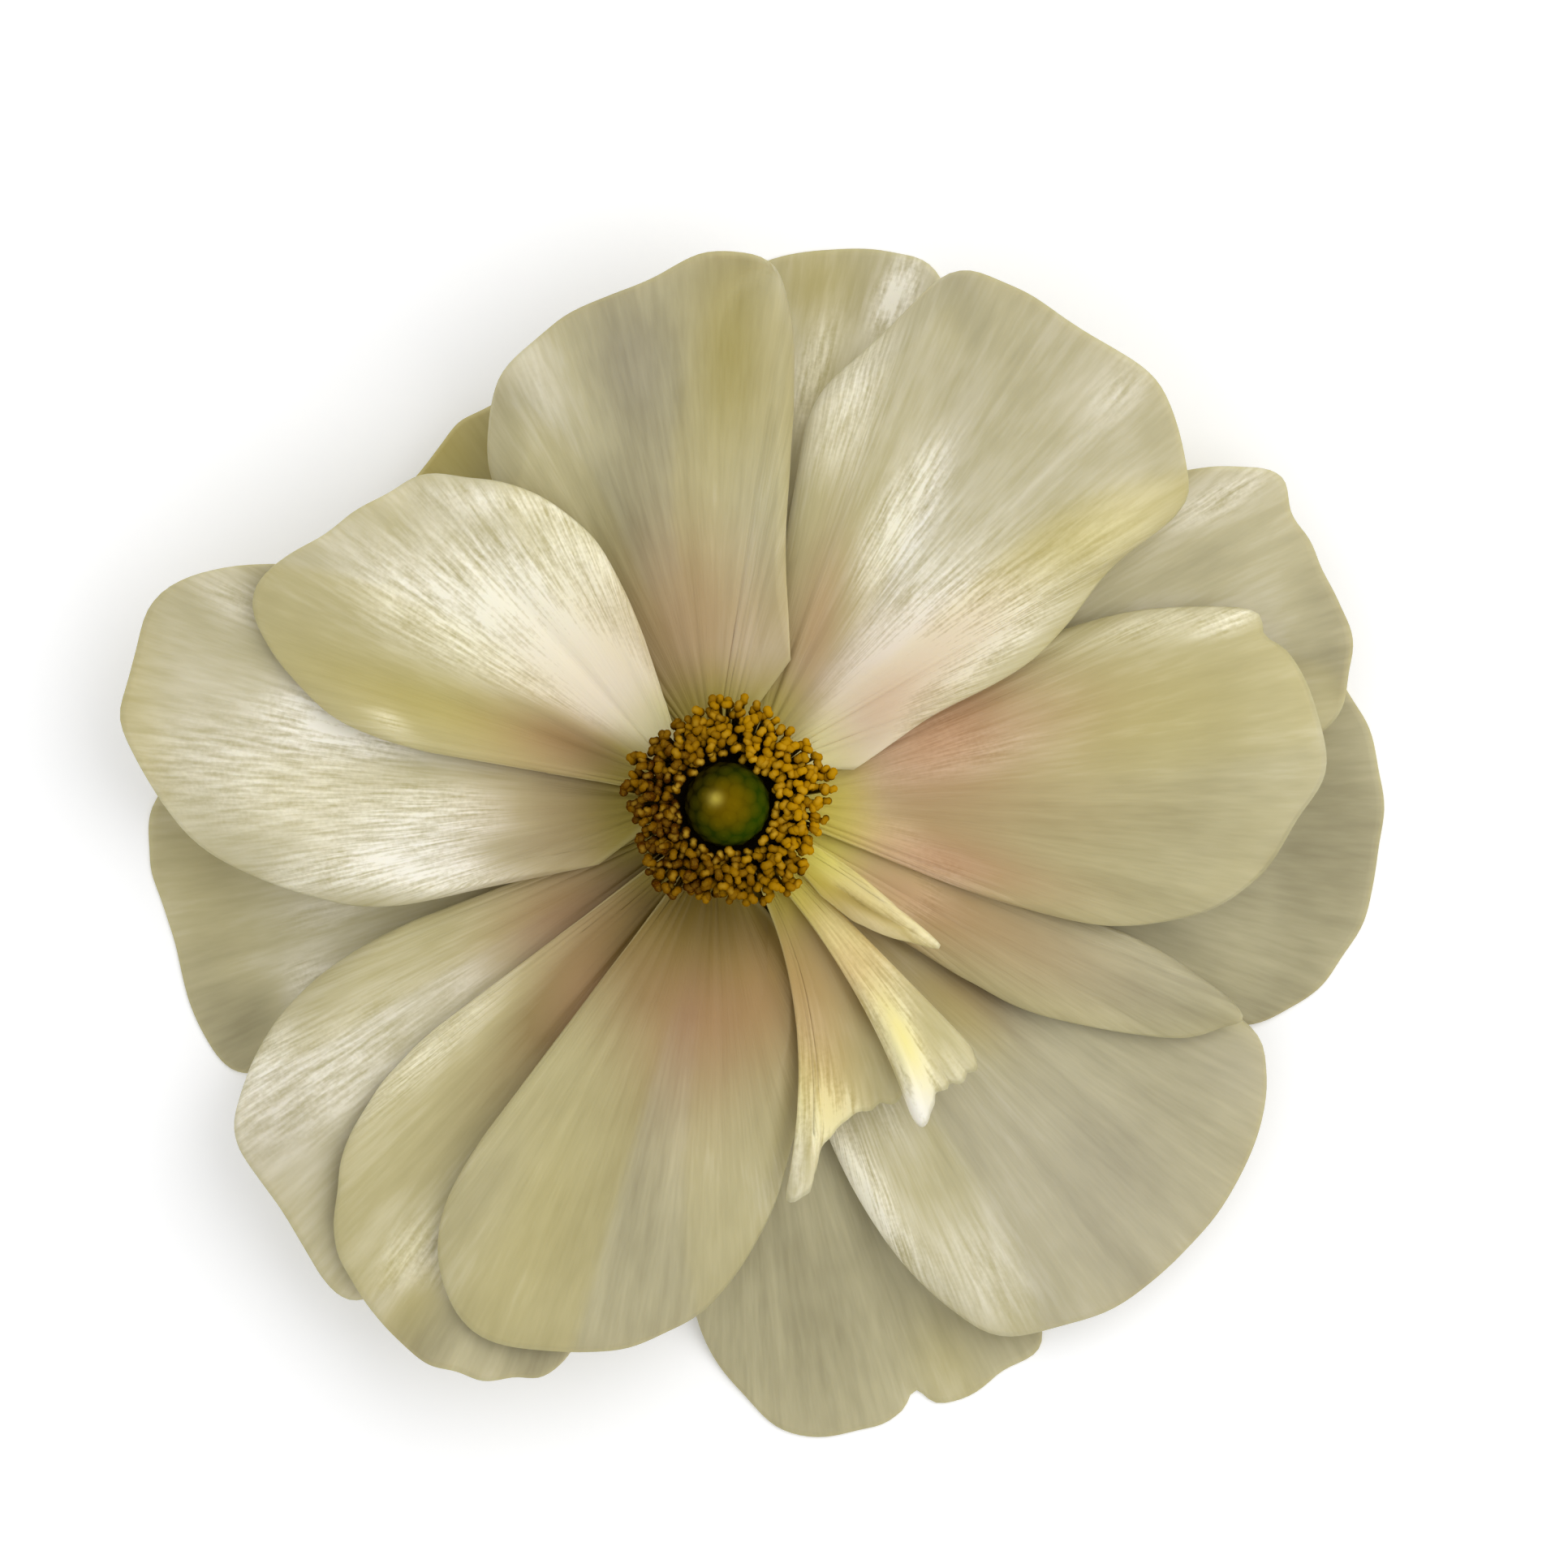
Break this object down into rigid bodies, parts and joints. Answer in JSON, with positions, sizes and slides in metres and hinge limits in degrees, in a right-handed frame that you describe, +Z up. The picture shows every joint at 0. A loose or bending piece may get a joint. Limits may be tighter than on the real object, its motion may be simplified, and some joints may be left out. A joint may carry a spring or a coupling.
{
  "type": "ranunculus flower",
  "caption": "Cream ranunculus flower head with broad satin petals in open whorls, a golden-brown ring of stamens and a green head of carpels, picked with a short stalk and lying face up.",
  "frame": {"origin": "on the surface that the flower lies on, under the middle of its bounding box", "axes": "+Z up, the way the flower faces; +X to the right and +Y to the top of the flower seen face on"},
  "size_m": [0.0798, 0.075, 0.0169],
  "materials": {
    "petal": "satin",
    "petaloid": "satin",
    "anther": "matte",
    "carpel": "satin",
    "stalk": "matte",
    "sepal": "matte"
  },
  "bodies": {
    "root": {"stalk_and_receptacle": "stalk", "sepal_1": "sepal", "sepal_2": "sepal", "sepal_3": "sepal", "sepal_4": "sepal", "sepal_5": "sepal", "petal_bottom_back": "petal", "petal_right_back": "petal", "petal_left_back": "petal", "petal_top_back": "petal", "petal_upper_left_back": "petal", "petal_lower_right_back": "petal", "petal_upper_right_back": "petal", "petal_lower_right": "petal", "petal_lower_left": "petal", "petal_right": "petal", "petal_bottom_left": "petal", "petal_upper_right": "petal", "petal_left": "petal", "petal_top": "petal", "petal_bottom": "petal", "petal_upper_left": "petal", "petaloid_ragged": "petaloid", "petaloid_folded": "petaloid", "petaloid_sliver": "petaloid", "stamens": "anther", "carpel_head": "carpel"}
  },
  "joints": []
}
